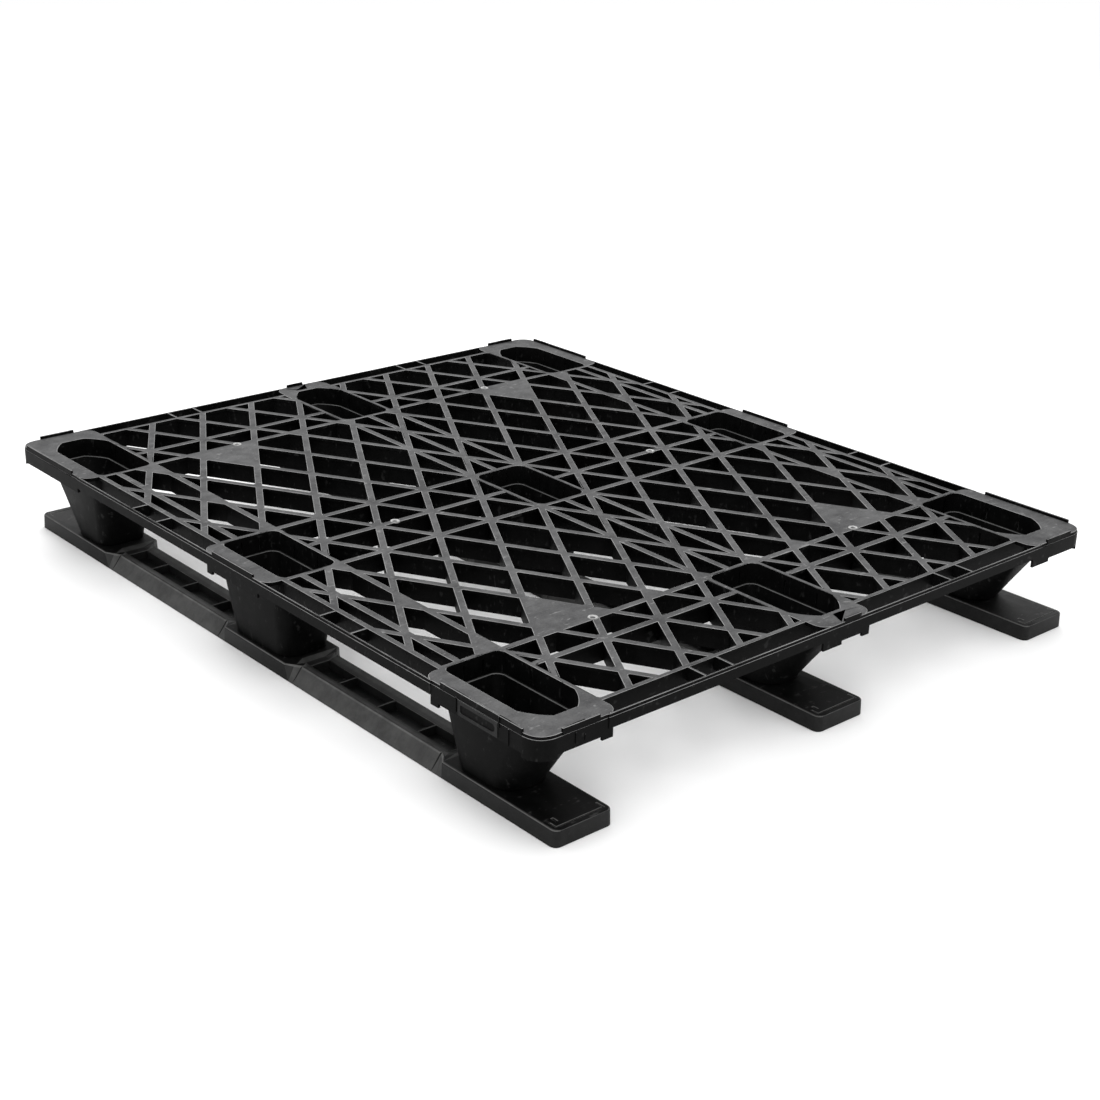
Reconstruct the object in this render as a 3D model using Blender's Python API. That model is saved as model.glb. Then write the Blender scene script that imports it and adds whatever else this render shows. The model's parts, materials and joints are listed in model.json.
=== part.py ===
"""Plastic pallet, 1000 x 1200 mm, on three runners.

X runs across the pallet, Y along its runners, Z up from the floor, in metres.
The deck and its nine hollow feet are one moulding on the real pallet. Here each
foot is a node of its own below its collar, so that collision hulls can follow it.
The deck is laid out in plan as a diagonal rib grid and extruded down to the depth
of each rib. Three runner mouldings lie under the feet, each held to a foot by two
screws from below.
"""
import math

import bmesh
import bpy
from mathutils import Vector
from mathutils.geometry import delaunay_2d_cdt

# Overall size
WIDTH = 1.000
LENGTH = 1.200
DECK_TOP = 0.140
DECK_CORNER_RADIUS = 0.026
FIT_GAP = 0.0003

# Rib grid: nodes lie at (n * PITCH_X, row * PITCH_Y) where n + row is even
PITCH_X = 0.0448
PITCH_Y = 0.07545
DIAGONAL_FAMILY = 9
RIB_WIDTH = 0.0095
RIB_DEPTH = 0.025

# Straight ribs, by their centre lines
FRAME_X = 0.470
FRAME_Y = 0.5657
FRAME_X_WIDTH = 0.008
FRAME_Y_WIDTH = 0.006
STRINGER_X = 0.444
COLUMN_RIB_X = 0.385
CENTRE_RIB_X = 0.044
ROW_RIB_Y = 0.0755
END_RIB_Y = 0.4005
MID_END_RIB_Y = 6 * PITCH_Y

# Rim and the open troughs inside it
RIM_THICKNESS = 0.0035
RIM_DEPTH = 0.017
TROUGH_RIBS_X = (4.5 * PITCH_X, 5.5 * PITCH_X)
TROUGH_RIBS_Y = (0.194, 0.258)

# Plates between the pockets and the rim
PLATE_THICKNESS = 0.005
PLATE_CORNER_RADIUS = 0.018
CORNER_PLATE_X = 0.380
CORNER_PLATE_Y = 0.397
END_PLATE_HALF = 0.046
END_PLATE_Y = 0.530
SIDE_PLATE_HALF = 0.077
SKIRT_THICKNESS = 0.004
SKIRT_DEPTH = 0.024
TAB_DEPTH = 0.029
LIP_HEIGHT = 0.0045
LIP_THICKNESS = 0.003

# Lips and tabs along the edges, as stretches of the left side (Y) and the front end (X)
SIDE_LIP_Y = (-0.574, -0.435)
SIDE_MIDDLE_LIP_HALF = 0.048
END_LIP_X = (-0.465, -0.410)
END_MIDDLE_LIP_X = (-0.008, 0.022)
END_TABS_X = ((-0.407, -0.391), (-0.046, -0.012), (0.026, 0.039), (0.380, 0.417))
SIDE_TABS_Y = ((-0.429, -0.415), (0.049, 0.061))
CORNER_TAB_Y = -0.572
CORNER_TAB_X = -0.471

# Pockets: the open tops of the hollow feet
COLUMN_X = 0.4285
POCKET_HALF_X = 0.042
MIDDLE_POCKET_HALF_Y = 0.073
END_POCKET_INNER_Y = 0.399
END_POCKET_OUTER_Y = 0.563
CENTRE_POCKET_OUTER_Y = 0.568
COLLAR_WALL = 0.0065
COLLAR_DEPTH = 0.030

# Corner cuts: (length along X, length along Y, fullness: 0 is a chamfer, 1 a sharp corner)
ROUND = 0.83
CORNER_STEPS = 3
MIDDLE_POCKET_CUT = (0.011, 0.011, 0.7)
MIDDLE_SHOULDER_CUT = (0.021, 0.021, ROUND)
MIDDLE_BASE_CUT = (0.022, 0.022, ROUND)
INNER_POCKET_CUT = (0.010, 0.010, 0.6)
INNER_SHOULDER_CUT = (0.023, 0.023, ROUND)
INNER_BASE_CUT = (0.020, 0.020, ROUND)
OUTER_POCKET_CUT = (0.025, 0.033, 0.25)
OUTER_SHOULDER_CUT = (0.027, 0.035, 0.3)
OUTER_BASE_CUT = (0.030, 0.032, ROUND)

# Feet
FOOT_WALL = 0.0045
LEDGE_WIDTH = 0.0035
FOOT_FLOOR = 0.005
FOOT_HALF_X = 0.0365
MIDDLE_FOOT_HALF_Y = 0.066
END_FOOT_INNER_Y = 0.414
END_FOOT_OUTER_Y = 0.510

# Runners
RUNNER_HALF = 0.0435
RUNNER_HEIGHT = 0.021
RUNNER_CORNER_RADIUS = 0.009
PAD_HALF_TOP = 0.0425
PAD_Y = (0.072, 0.400)
SPAN_Y = (0.090, 0.380)
RIDGE_HALF = 0.027
RIDGE_Z = 0.020
VALLEY_HALF = 0.015
VALLEY_Z = 0.0165
CELL_HALF = 0.0135
CELL_FLOOR = 0.004
CELL_WALL = 0.0025
CROSS_RIB_Y = (0.152, 0.234, 0.316)

# Screws
SCREW_SPACING = 0.050
SCREW_RADIUS = 0.0025
SCREW_PAN_RADIUS = 0.005
SCREW_FLANGE_RADIUS = 0.007
SCREW_HEAD_LOW = 0.002
SCREW_FLANGE_LOW = 0.0044
SCREW_REACH = 0.0105
COUNTERBORE_RADIUS = 0.008
COUNTERBORE_DEPTH = 0.006
CLEARANCE_RADIUS = 0.0032
PILOT_RADIUS = SCREW_RADIUS + FIT_GAP
PILOT_DEPTH = 0.012
BOSS_RADIUS = 0.008
BOSS_HEIGHT = 0.0145
ROUND_STEPS = 10

FOOT_BASE = RUNNER_HEIGHT + FIT_GAP
HALF_X = WIDTH / 2
HALF_Y = LENGTH / 2
SIDES = (-1, 1)


# ---------------------------------------------------------------- outlines

def strip(start, end, width):
    """A straight rib's outline from start to end, in plan."""
    a, b = Vector(start), Vector(end)
    across = (b - a).normalized().orthogonal() * width / 2
    return [a + across, a - across, b - across, b + across]


def rectangle(x0, x1, y0, y1):
    return [Vector((x0, y0)), Vector((x1, y0)), Vector((x1, y1)), Vector((x0, y1))]


def cut_corner(corner, start, end, fullness, steps):
    """Points of a corner from start to end, bent towards the sharp corner by fullness."""
    chord_middle = (start + end) / 2
    control = chord_middle.lerp(corner, fullness)
    points = []
    for i in range(steps + 1):
        t = i / steps
        points.append((1 - t) ** 2 * start + 2 * t * (1 - t) * control + t * t * end)
    return points


def cut_rectangle(x0, x1, y0, y1, cuts, steps=CORNER_STEPS):
    """A rectangle with its corners cut; cuts go round from (x0, y0), each
    (length along X, length along Y, fullness), or None for a sharp corner."""
    corners = rectangle(x0, x1, y0, y1)
    points = []
    for i, corner in enumerate(corners):
        if cuts[i] is None:
            points.append(corner)
            continue
        along_x, along_y, fullness = cuts[i]
        to_x = Vector((math.copysign(along_x, x0 + x1 - 2 * corner.x), 0))
        to_y = Vector((0, math.copysign(along_y, y0 + y1 - 2 * corner.y)))
        start, end = (corner + to_y, corner + to_x) if i % 2 == 0 else (corner + to_x, corner + to_y)
        points += cut_corner(corner, start, end, fullness, steps)
    return points


def round_cut(radius):
    return (radius, radius, ROUND)


def band(path, thickness):
    """A wall of even thickness on the left of an open path."""
    inner = []
    for i, point in enumerate(path):
        before = path[max(i - 1, 0)]
        after = path[min(i + 1, len(path) - 1)]
        normals = []
        for a, b in ((before, point), (point, after)):
            if (b - a).length > 0:
                normals.append((b - a).normalized())
        left = sum((Vector((-n.y, n.x)) for n in normals), Vector((0, 0))).normalized()
        stretch = left.dot(Vector((-normals[0].y, normals[0].x)))
        inner.append(point + left * thickness / stretch)
    return path + inner[::-1]


def mirrored(points, sx, sy):
    """The outline carried to another corner of the pallet, kept anticlockwise."""
    out = [Vector((p.x * sx, p.y * sy)) for p in points]
    return out if sx * sy > 0 else out[::-1]


# ---------------------------------------------------------------- pockets and feet

class Foot:
    """One hollow foot: its place, and its outline at the pocket and at the base."""

    def __init__(self, column, row):
        self.name = ("front", "middle", "back")[row + 1] + "_" + ("left", "middle", "right")[column + 1]
        self.row = row
        self.centre_x = column * COLUMN_X
        self.outer_y = END_POCKET_OUTER_Y if column else CENTRE_POCKET_OUTER_Y
        if row == 0:
            self.base_y = 0.0
        else:
            self.base_y = row * (END_FOOT_INNER_Y + END_FOOT_OUTER_Y) / 2

    def _outline(self, half_x, inner_y, outer_y, inner_cut, outer_cut):
        x0, x1 = self.centre_x - half_x, self.centre_x + half_x
        if self.row == 0:
            return cut_rectangle(x0, x1, -outer_y, outer_y, [inner_cut] * 4)
        if self.row < 0:
            return cut_rectangle(x0, x1, -outer_y, -inner_y, [outer_cut, outer_cut, inner_cut, inner_cut])
        return cut_rectangle(x0, x1, inner_y, outer_y, [inner_cut, inner_cut, outer_cut, outer_cut])

    def pocket(self, grow=0.0):
        """The pocket's outline, moved out by grow on every side."""
        half_x = POCKET_HALF_X + grow
        if self.row == 0:
            return self._outline(half_x, 0, MIDDLE_POCKET_HALF_Y + grow, MIDDLE_POCKET_CUT, None)
        along_x, along_y, fullness = OUTER_POCKET_CUT
        outer_cut = (along_x + grow / 2, along_y + grow / 2, fullness)
        return self._outline(half_x, END_POCKET_INNER_Y - grow, self.outer_y + grow,
                             INNER_POCKET_CUT, outer_cut)

    def shoulder(self, grow=0.0):
        """The outline below the collar, whose inner corners are broader than the pocket's."""
        half_x = POCKET_HALF_X + grow
        if self.row == 0:
            return self._outline(half_x, 0, MIDDLE_POCKET_HALF_Y + grow, MIDDLE_SHOULDER_CUT, None)
        return self._outline(half_x, END_POCKET_INNER_Y - grow, self.outer_y + grow,
                             INNER_SHOULDER_CUT, OUTER_SHOULDER_CUT)

    def base(self, grow=0.0):
        """The foot's outline where it stands on the runner."""
        half_x = FOOT_HALF_X + grow
        if self.row == 0:
            return self._outline(half_x, 0, MIDDLE_FOOT_HALF_Y + grow, MIDDLE_BASE_CUT, None)
        return self._outline(half_x, END_FOOT_INNER_Y - grow, END_FOOT_OUTER_Y + grow,
                             INNER_BASE_CUT, OUTER_BASE_CUT)

    def screws(self):
        """The centres of the foot's two screws."""
        return [Vector((self.centre_x, self.base_y + side * SCREW_SPACING / 2)) for side in SIDES]


FEET = [Foot(column, row) for row in (-1, 0, 1) for column in (-1, 0, 1)]


# ---------------------------------------------------------------- the deck in plan

def diagonal_ribs():
    """Both families of diagonals, each clipped to the inner frame."""
    ribs = []
    for slope in SIDES:
        for k in range(-DIAGONAL_FAMILY, DIAGONAL_FAMILY + 1):
            offset = 2 * k * PITCH_Y
            gradient = slope * PITCH_Y / PITCH_X
            crossings = sorted([(-FRAME_Y - offset) / gradient, (FRAME_Y - offset) / gradient])
            x0, x1 = max(-FRAME_X, crossings[0]), min(FRAME_X, crossings[1])
            if x1 - x0 > RIB_WIDTH:
                ribs.append(strip((x0, gradient * x0 + offset), (x1, gradient * x1 + offset), RIB_WIDTH))
    return ribs


def straight_ribs():
    """The frame round the grid and the ribs that run square to it."""
    ribs = []
    for side in SIDES:
        ribs.append(strip((side * FRAME_X, -FRAME_Y), (side * FRAME_X, FRAME_Y), FRAME_X_WIDTH))
        ribs.append(strip((-FRAME_X, side * FRAME_Y), (FRAME_X, side * FRAME_Y), FRAME_Y_WIDTH))
        for x in (COLUMN_RIB_X, CENTRE_RIB_X):
            ribs.append(strip((side * x, -FRAME_Y), (side * x, FRAME_Y), RIB_WIDTH))
        for y in (ROW_RIB_Y, END_RIB_Y):
            ribs.append(strip((-FRAME_X, side * y), (FRAME_X, side * y), RIB_WIDTH))
        ribs.append(strip((side * CENTRE_RIB_X, 0), (side * COLUMN_RIB_X, 0), RIB_WIDTH))
        for x in (-STRINGER_X, 0, STRINGER_X):
            ribs.append(strip((x, side * ROW_RIB_Y), (x, side * END_RIB_Y), RIB_WIDTH))
        for end in SIDES:
            ribs.append(strip((end * CENTRE_RIB_X, side * MID_END_RIB_Y),
                              (end * COLUMN_RIB_X, side * MID_END_RIB_Y), RIB_WIDTH))
    return ribs


def grid_fillets():
    """Solid triangles in the grid: the four large pads, and the narrow tips where
    diagonals meet just short of an end rib or a column rib."""
    pads, tips = [], []
    for sy in SIDES:
        for n in range(-9, 10):
            row = 5 if n % 2 else 4
            if row == 4 and abs(n) != 6:
                continue
            run = (END_RIB_Y / PITCH_Y - row) * PITCH_X
            triangle = [Vector((n * PITCH_X, row * PITCH_Y)), Vector((n * PITCH_X + run, END_RIB_Y)),
                        Vector((n * PITCH_X - run, END_RIB_Y))]
            (tips if row == 5 else pads).append(mirrored(triangle, 1, sy))
    for sx in SIDES:
        for row in range(-5, 6, 2):
            run = (9 - COLUMN_RIB_X / PITCH_X) * PITCH_Y
            triangle = [Vector((9 * PITCH_X, row * PITCH_Y)), Vector((COLUMN_RIB_X, row * PITCH_Y + run)),
                        Vector((COLUMN_RIB_X, row * PITCH_Y - run))]
            tips.append(mirrored(triangle, sx, 1))
    return pads, tips


def rim_strips():
    """The outer rim's straight walls, and the ribs that tie it to the frame."""
    strips = []
    rim_x, rim_y = HALF_X - RIM_THICKNESS / 2, HALF_Y - RIM_THICKNESS / 2
    for side in SIDES:
        strips.append(strip((side * rim_x, -CORNER_PLATE_Y - PLATE_CORNER_RADIUS),
                            (side * rim_x, CORNER_PLATE_Y + PLATE_CORNER_RADIUS), RIM_THICKNESS))
        strips.append(strip((-CORNER_PLATE_X - PLATE_CORNER_RADIUS, side * rim_y),
                            (CORNER_PLATE_X + PLATE_CORNER_RADIUS, side * rim_y), RIM_THICKNESS))
        for end in SIDES:
            for x in TROUGH_RIBS_X:
                strips.append(strip((end * x, side * FRAME_Y), (end * x, side * rim_y), RIM_THICKNESS))
            for y in TROUGH_RIBS_Y:
                strips.append(strip((side * FRAME_X, end * y), (side * rim_x, end * y), RIM_THICKNESS))
    return strips


def plates():
    """The flat plates: four corners, the middles of the long sides, the middles of the ends."""
    outlines = []
    deck_corner = round_cut(DECK_CORNER_RADIUS)
    plate_corner = round_cut(PLATE_CORNER_RADIUS)
    side_strip = cut_rectangle(-HALF_X, -FRAME_X, -HALF_Y, -CORNER_PLATE_Y,
                               [deck_corner, None, None, plate_corner])
    end_strip = cut_rectangle(-HALF_X, -CORNER_PLATE_X, -HALF_Y, -END_PLATE_Y,
                              [deck_corner, plate_corner, None, None])
    for sx in SIDES:
        for sy in SIDES:
            outlines.append(mirrored(side_strip, -sx, -sy))
            outlines.append(mirrored(end_strip, -sx, -sy))
    side_middle = cut_rectangle(-HALF_X, -FRAME_X, -SIDE_PLATE_HALF, SIDE_PLATE_HALF,
                                [plate_corner, None, None, plate_corner])
    end_middle = cut_rectangle(-END_PLATE_HALF, END_PLATE_HALF, -HALF_Y, -END_PLATE_Y,
                               [plate_corner, plate_corner, None, None])
    for side in SIDES:
        outlines.append(mirrored(side_middle, -side, 1))
        outlines.append(mirrored(end_middle, 1, -side))
    return outlines


def corner_path(y_end, x_end):
    """The outer edge round the front left corner, from the side to the end, anticlockwise."""
    corner = Vector((-HALF_X, -HALF_Y))
    start = corner + Vector((0, DECK_CORNER_RADIUS))
    end = corner + Vector((DECK_CORNER_RADIUS, 0))
    arc = cut_corner(corner, start, end, ROUND, CORNER_STEPS)
    return [Vector((-HALF_X, y_end))] + arc + [Vector((x_end, -HALF_Y))]


def edge_walls():
    """Skirts, the deeper tabs on them, and the lips above: (outline, bottom, top)."""
    skirt_low, tab_low = DECK_TOP - SKIRT_DEPTH, DECK_TOP - TAB_DEPTH
    lip_top = DECK_TOP + LIP_HEIGHT
    walls = []
    side_end = -CORNER_PLATE_Y - PLATE_CORNER_RADIUS
    plate_end = -CORNER_PLATE_X - PLATE_CORNER_RADIUS
    side_lip = rectangle(-HALF_X, -HALF_X + LIP_THICKNESS, *SIDE_LIP_Y)
    end_lip = rectangle(*END_LIP_X, -HALF_Y, -HALF_Y + LIP_THICKNESS)
    for sx in SIDES:
        for sy in SIDES:
            skirt = mirrored(band(corner_path(side_end, plate_end), SKIRT_THICKNESS), sx, sy)
            walls.append((skirt, skirt_low, DECK_TOP))
            for lip in (side_lip, end_lip):
                walls.append((mirrored(lip, sx, sy), skirt_low, lip_top))

    straight = SIDE_PLATE_HALF - PLATE_CORNER_RADIUS
    end_straight = END_PLATE_HALF - PLATE_CORNER_RADIUS
    side_skirt = rectangle(-HALF_X, -HALF_X + SKIRT_THICKNESS, -straight, straight)
    end_skirt = rectangle(-end_straight, end_straight, -HALF_Y, -HALF_Y + SKIRT_THICKNESS)
    side_lip = rectangle(-HALF_X, -HALF_X + LIP_THICKNESS, -SIDE_MIDDLE_LIP_HALF, SIDE_MIDDLE_LIP_HALF)
    end_lip = rectangle(*END_MIDDLE_LIP_X, -HALF_Y, -HALF_Y + LIP_THICKNESS)
    corner_tab = band(corner_path(CORNER_TAB_Y, CORNER_TAB_X), SKIRT_THICKNESS)
    corner_middle = band(corner_path(-HALF_Y, -HALF_X)[2:4], SKIRT_THICKNESS)
    for turn in SIDES:
        # Half a turn about Z carries each of these to the opposite side or end
        walls.append((mirrored(side_skirt, turn, turn), skirt_low, DECK_TOP))
        walls.append((mirrored(end_skirt, turn, turn), skirt_low, DECK_TOP))
        walls.append((mirrored(side_lip, turn, turn), skirt_low, lip_top))
        walls.append((mirrored(end_lip, turn, turn), skirt_low, lip_top))
        walls.append((mirrored(corner_tab, turn, turn), tab_low, DECK_TOP))
        walls.append((mirrored(corner_middle, -turn, turn), tab_low, DECK_TOP))
        for x0, x1 in END_TABS_X:
            tab = rectangle(x0, x1, -HALF_Y, -HALF_Y + SKIRT_THICKNESS)
            walls.append((mirrored(tab, turn, turn), tab_low, DECK_TOP))
        for y0, y1 in SIDE_TABS_Y:
            tab = rectangle(-HALF_X, -HALF_X + SKIRT_THICKNESS, y0, y1)
            walls.append((mirrored(tab, turn, turn), tab_low, DECK_TOP))
    return walls


def deck_regions():
    """Everything in the deck's plan as (outline, bottom, top)."""
    rib_low = DECK_TOP - RIB_DEPTH
    pads, tips = grid_fillets()
    regions = [(outline, rib_low, DECK_TOP) for outline in diagonal_ribs() + straight_ribs() + tips]
    regions += [(outline, DECK_TOP - PLATE_THICKNESS, DECK_TOP) for outline in pads + plates()]
    regions += [(outline, DECK_TOP - RIM_DEPTH, DECK_TOP) for outline in rim_strips()]
    regions += [(foot.pocket(COLLAR_WALL), DECK_TOP - COLLAR_DEPTH, DECK_TOP) for foot in FEET]
    return regions + edge_walls()


# ---------------------------------------------------------------- solids

def new_object(name, mesh_builder, material=None, cutter=False):
    mesh = bpy.data.meshes.new(name)
    mesh_builder.normal_update()
    mesh_builder.to_mesh(mesh)
    mesh_builder.free()
    item = bpy.data.objects.new(name, mesh)
    bpy.context.scene.collection.objects.link(item)
    if material:
        mesh.materials.append(material)
    if cutter:
        item.hide_render = True
        item.display_type = 'WIRE'
    return item


def terraced_solid(regions, voids):
    """One solid from overlapping plan outlines: each patch of the plan runs from the
    lowest bottom to the highest top of the outlines over it, and none is left in a void."""
    outlines = [region[0] for region in regions] + voids
    points, faces = [], []
    for outline in outlines:
        faces.append(list(range(len(points), len(points) + len(outline))))
        points += outline
    plan = delaunay_2d_cdt(points, [], faces, 4, 1e-5)
    plan_points, plan_faces, sources = plan[0], plan[2], plan[5]

    patches = []
    for face, over in zip(plan_faces, sources):
        if over and max(over) < len(regions):
            low = min(regions[i][1] for i in over)
            high = max(regions[i][2] for i in over)
            patches.append((face, low, high))

    solid = bmesh.new()
    made = {}
    levels = {}
    span_left_of = {}
    for face, low, high in patches:
        for i, a in enumerate(face):
            levels.setdefault(a, set()).update((low, high))
            span_left_of[a, face[(i + 1) % len(face)]] = (low, high)

    def vertex(index, z):
        key = (index, z)
        if key not in made:
            point = plan_points[index]
            made[key] = solid.verts.new((point.x, point.y, z))
        return made[key]

    def wall(a, b, low, high):
        """The wall over plan edge a-b, its face to the right of the edge."""
        up = [z for z in sorted(levels[b]) if low <= z <= high]
        down = [z for z in sorted(levels[a], reverse=True) if low <= z <= high]
        solid.faces.new([vertex(a, low)] + [vertex(b, z) for z in up]
                        + [vertex(a, z) for z in down if z > low])

    for face, low, high in patches:
        solid.faces.new([vertex(i, high) for i in face])
        solid.faces.new([vertex(i, low) for i in reversed(face)])
        for i, a in enumerate(face):
            b = face[(i + 1) % len(face)]
            beyond = span_left_of.get((b, a))
            if beyond is None:
                wall(a, b, low, high)
                continue
            if low < beyond[0]:
                wall(a, b, low, beyond[0])
            if high > beyond[1]:
                wall(a, b, beyond[1], high)
    return solid


def loft(solid, sections):
    """Add a closed body through outlines of equal point count, from the bottom up."""
    rings = [[solid.verts.new((p.x, p.y, z)) for p in outline] for outline, z in sections]
    solid.faces.new(rings[0][::-1])
    solid.faces.new(rings[-1])
    for lower, upper in zip(rings, rings[1:]):
        for i in range(len(lower)):
            j = (i + 1) % len(lower)
            solid.faces.new((lower[i], lower[j], upper[j], upper[i]))


def circle(centre, radius):
    """A round outline; its first corner is turned half a step so that flats face X and Y."""
    step = 2 * math.pi / ROUND_STEPS
    return [Vector((centre.x + radius * math.cos((i + 0.5) * step),
                    centre.y + radius * math.sin((i + 0.5) * step))) for i in range(ROUND_STEPS)]


def add_boolean(item, operation, other):
    modifier = item.modifiers.new(other.name, 'BOOLEAN')
    modifier.operation = operation
    modifier.object = other
    modifier.solver = 'EXACT'


# ---------------------------------------------------------------- materials

def plastic(name, colour, roughness, metallic=0.0):
    material = bpy.data.materials.new(name)
    material.use_nodes = True
    shader = material.node_tree.nodes['Principled BSDF']
    shader.inputs['Base Color'].default_value = (*colour, 1.0)
    shader.inputs['Roughness'].default_value = roughness
    shader.inputs['Metallic'].default_value = metallic
    return material


# ---------------------------------------------------------------- pieces

def build_deck(material):
    new_object('deck', terraced_solid(deck_regions(), [foot.pocket() for foot in FEET]), material)


def build_foot(foot, material):
    """A tapering cup with a ledge inside the collar above it and a boss round each screw."""
    seat = DECK_TOP - COLLAR_DEPTH - FIT_GAP
    shell, hollow, bosses, pilots = bmesh.new(), bmesh.new(), bmesh.new(), bmesh.new()
    loft(shell, [(foot.base(), FOOT_BASE), (foot.shoulder(FOOT_WALL), seat)])
    loft(hollow, [(foot.base(-FOOT_WALL), FOOT_BASE + FOOT_FLOOR),
                  (foot.pocket(-LEDGE_WIDTH), DECK_TOP - COLLAR_DEPTH)])
    for centre in foot.screws():
        loft(bosses, [(circle(centre, BOSS_RADIUS), FOOT_BASE + FOOT_FLOOR / 2),
                      (circle(centre, BOSS_RADIUS), FOOT_BASE + BOSS_HEIGHT)])
        loft(pilots, [(circle(centre, PILOT_RADIUS), FOOT_BASE - FOOT_FLOOR),
                      (circle(centre, PILOT_RADIUS), FOOT_BASE + PILOT_DEPTH)])
    name = 'foot_' + foot.name
    cup = new_object(name, shell, material)
    for label, solid, operation in (('hollow', hollow, 'DIFFERENCE'), ('bosses', bosses, 'UNION'),
                                    ('pilots', pilots, 'DIFFERENCE')):
        add_boolean(cup, operation, new_object(name + '_' + label, solid, cutter=True))


def runner_body():
    """The runner's outer shape: flat pads at the ends and the middle, and between them
    spans with sloping flanks, a ridge down each side and a shallow valley."""
    pad = ((-RUNNER_HALF, 0), (RUNNER_HALF, 0), (PAD_HALF_TOP, RUNNER_HEIGHT), (VALLEY_HALF, RUNNER_HEIGHT),
           (-VALLEY_HALF, RUNNER_HEIGHT), (-PAD_HALF_TOP, RUNNER_HEIGHT))
    span = ((-RUNNER_HALF, 0), (RUNNER_HALF, 0), (RIDGE_HALF, RIDGE_Z), (VALLEY_HALF, VALLEY_Z),
            (-VALLEY_HALF, VALLEY_Z), (-RIDGE_HALF, RIDGE_Z))
    half = [(PAD_Y[0], pad), (SPAN_Y[0], span), (SPAN_Y[1], span), (PAD_Y[1], pad), (HALF_Y, pad)]
    stations = [(-y, section) for y, section in reversed(half)] + half
    body = bmesh.new()
    rings = [[body.verts.new((x, y, z)) for x, z in section] for y, section in stations]
    body.faces.new(rings[0])
    body.faces.new(rings[-1][::-1])
    for near, far in zip(rings, rings[1:]):
        for i in range(len(near)):
            j = (i + 1) % len(near)
            body.faces.new((near[j], near[i], far[i], far[j]))
    end_zone = (PAD_Y[1] + HALF_Y) / 2
    upright = [edge for edge in body.edges if edge.verts[0].co.z != edge.verts[1].co.z
               and min(abs(end.co.y) for end in edge.verts) > end_zone]
    bmesh.ops.bevel(body, geom=upright, offset=RUNNER_CORNER_RADIUS, segments=CORNER_STEPS,
                    profile=0.5, affect='EDGES')
    return body


def span_cells():
    """The open cells down each span, with thin cross ribs left between them."""
    cells = bmesh.new()
    bounds = (SPAN_Y[0],) + CROSS_RIB_Y + (SPAN_Y[1],)
    for side in SIDES:
        for start, end in zip(bounds, bounds[1:]):
            cell = sorted((side * (start + CELL_WALL / 2), side * (end - CELL_WALL / 2)))
            outline = rectangle(-CELL_HALF, CELL_HALF, *cell)
            loft(cells, [(outline, CELL_FLOOR), (outline, RUNNER_HEIGHT + CELL_FLOOR)])
    return cells


def build_runner(name, column, material):
    runner = new_object(name, runner_body(), material)
    holes, counterbores = bmesh.new(), bmesh.new()
    for foot in FEET:
        if foot.centre_x != column * COLUMN_X:
            continue
        for centre in foot.screws():
            local = centre - Vector((foot.centre_x, 0))
            loft(holes, [(circle(local, CLEARANCE_RADIUS), -COUNTERBORE_DEPTH),
                         (circle(local, CLEARANCE_RADIUS), RUNNER_HEIGHT + COUNTERBORE_DEPTH)])
            loft(counterbores, [(circle(local, COUNTERBORE_RADIUS), -COUNTERBORE_DEPTH),
                                (circle(local, COUNTERBORE_RADIUS), COUNTERBORE_DEPTH)])
    cuts = (('cells', span_cells()), ('holes', holes), ('counterbores', counterbores))
    for label, solid in cuts:
        cutter = new_object(name + '_' + label, solid, cutter=True)
        cutter.parent = runner
        add_boolean(runner, 'DIFFERENCE', cutter)
    runner.location.x = column * COLUMN_X
    return runner


def screw_mesh():
    """A flanged pan-head screw, head down, its axis on Z and its flange top at the origin."""
    flange_top = COUNTERBORE_DEPTH - FIT_GAP
    profile = ((SCREW_PAN_RADIUS, SCREW_HEAD_LOW), (SCREW_PAN_RADIUS, SCREW_FLANGE_LOW),
               (SCREW_FLANGE_RADIUS, SCREW_FLANGE_LOW), (SCREW_FLANGE_RADIUS, flange_top),
               (SCREW_RADIUS, flange_top), (SCREW_RADIUS, FOOT_BASE + SCREW_REACH))
    solid = bmesh.new()
    loft(solid, [(circle(Vector((0, 0)), radius), z - flange_top) for radius, z in profile])
    mesh = bpy.data.meshes.new('screw')
    solid.normal_update()
    solid.to_mesh(mesh)
    solid.free()
    mesh.shade_smooth()
    mesh.set_sharp_from_angle(angle=math.radians(50))
    return mesh


def build_screws(material):
    mesh = screw_mesh()
    mesh.materials.append(material)
    for foot in FEET:
        for label, centre in zip('ab', foot.screws()):
            screw = bpy.data.objects.new(f'screw_{foot.name}_{label}', mesh)
            screw.location = (centre.x, centre.y, COUNTERBORE_DEPTH - FIT_GAP)
            bpy.context.scene.collection.objects.link(screw)


def main():
    for item in list(bpy.data.objects):
        bpy.data.objects.remove(item, do_unlink=True)
    deck_plastic = plastic('deck_plastic', (0.032, 0.032, 0.033), 0.55)
    runner_plastic = plastic('runner_plastic', (0.022, 0.022, 0.023), 0.60)
    screw_steel = plastic('screw_steel', (0.45, 0.45, 0.46), 0.35, metallic=1.0)
    build_deck(deck_plastic)
    for foot in FEET:
        build_foot(foot, deck_plastic)
    for column, name in ((-1, 'runner_left'), (0, 'runner_middle'), (1, 'runner_right')):
        build_runner(name, column, runner_plastic)
    build_screws(screw_steel)


main()
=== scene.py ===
"""Looks of the plastic pallet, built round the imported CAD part, in metres.

deck_visual stands for the deck moulding with its nine feet, and runner_*_visual for
the three runners. gate_marks is extra, and the screws keep their CAD shapes. The
places and outer sizes of CAD nodes are read off the frame, and everything else
follows from the named values below.
"""

import json
import math

import bmesh
import bpy
from mathutils import Matrix, Vector
from mathutils.geometry import delaunay_2d_cdt


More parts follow.
